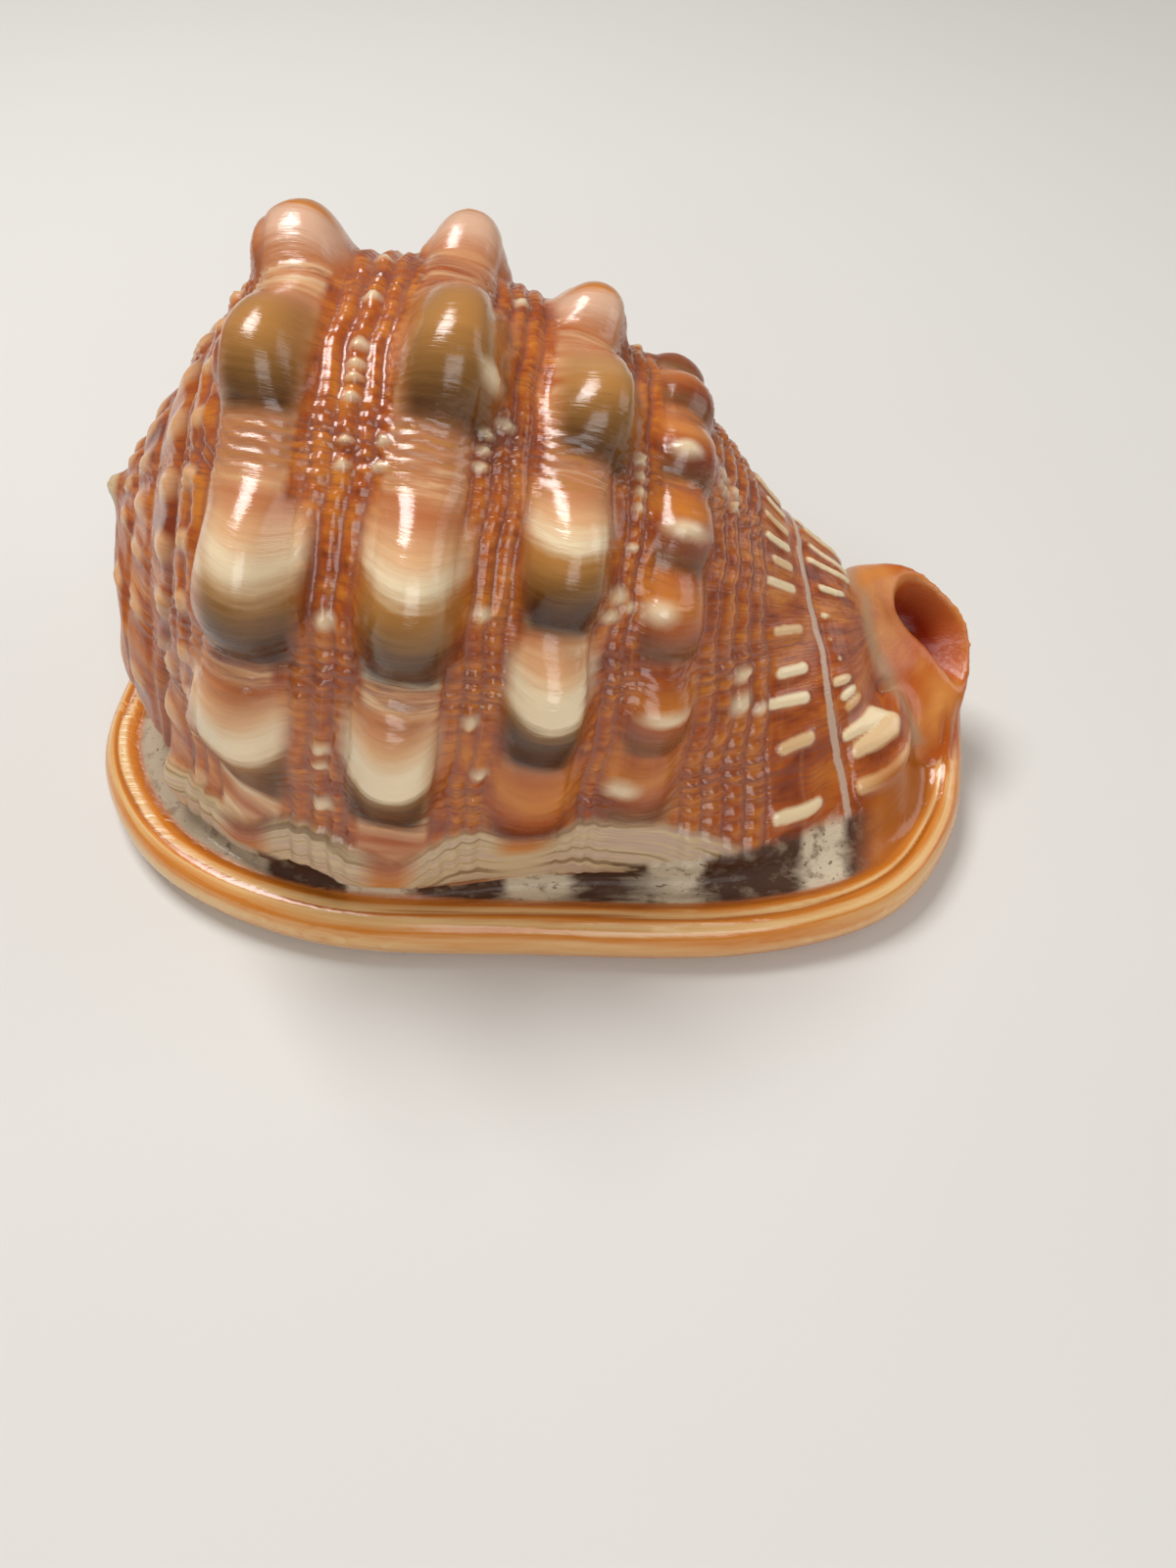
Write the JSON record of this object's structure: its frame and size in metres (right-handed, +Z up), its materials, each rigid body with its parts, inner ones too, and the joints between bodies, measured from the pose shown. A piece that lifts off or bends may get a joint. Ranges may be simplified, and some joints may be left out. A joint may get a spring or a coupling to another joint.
{
  "type": "helmet shell",
  "caption": "Bull-mouth helmet sea shell lying on its aperture: knobbed coiled body, rolled rim all round and an upturned siphonal canal.",
  "frame": {"origin": "on the table plane, under the centre of the shell's footprint box", "axes": "+X from the apex towards the siphonal canal, +Y towards the parietal shield away from the outer lip, +Z up off the table"},
  "size_m": [0.156, 0.1048, 0.0896],
  "materials": {
    "shell": "naturally glossy banded shell, orange brown with cream knobs"
  },
  "bodies": {
    "root": {"helmet_shell": "shell"}
  },
  "joints": []
}
